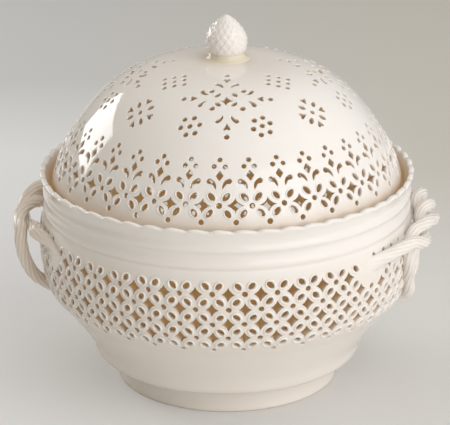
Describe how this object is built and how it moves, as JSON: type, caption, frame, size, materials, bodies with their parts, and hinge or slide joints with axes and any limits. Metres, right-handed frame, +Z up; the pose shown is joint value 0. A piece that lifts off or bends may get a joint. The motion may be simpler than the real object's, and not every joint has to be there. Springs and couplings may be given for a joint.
{
  "type": "chestnut basket",
  "caption": "Footed pierced earthenware bowl with entwined strap handles, a scalloped rim and a lift-off pierced domed lid with a cone knop.",
  "frame": {"origin": "middle of the foot's base, on the surface that the basket stands on", "axes": "+Z up, +X towards the right handle, -Y towards the front"},
  "size_m": [0.2554, 0.2218, 0.2215],
  "materials": {
    "cream_glaze": "glossy cream glaze over earthenware",
    "warm_glaze": "glossy cream glaze, pooled and a little yellower"
  },
  "bodies": {
    "basket": {"basket_body": "cream_glaze", "foot_ring": "cream_glaze", "handle_right_strand_a": "cream_glaze", "handle_right_strand_b": "cream_glaze", "handle_left_strand_a": "cream_glaze", "handle_left_strand_b": "cream_glaze"},
    "lid": {"lid_dome": "cream_glaze", "lid_flange": "warm_glaze", "knop_stalk": "warm_glaze", "knop": "cream_glaze"}
  },
  "joints": [
    {"name": "lid_lift", "type": "slide", "parent": "basket", "child": "lid", "axis": [0, 0, 1], "range_m": [0, 0.12]}
  ]
}
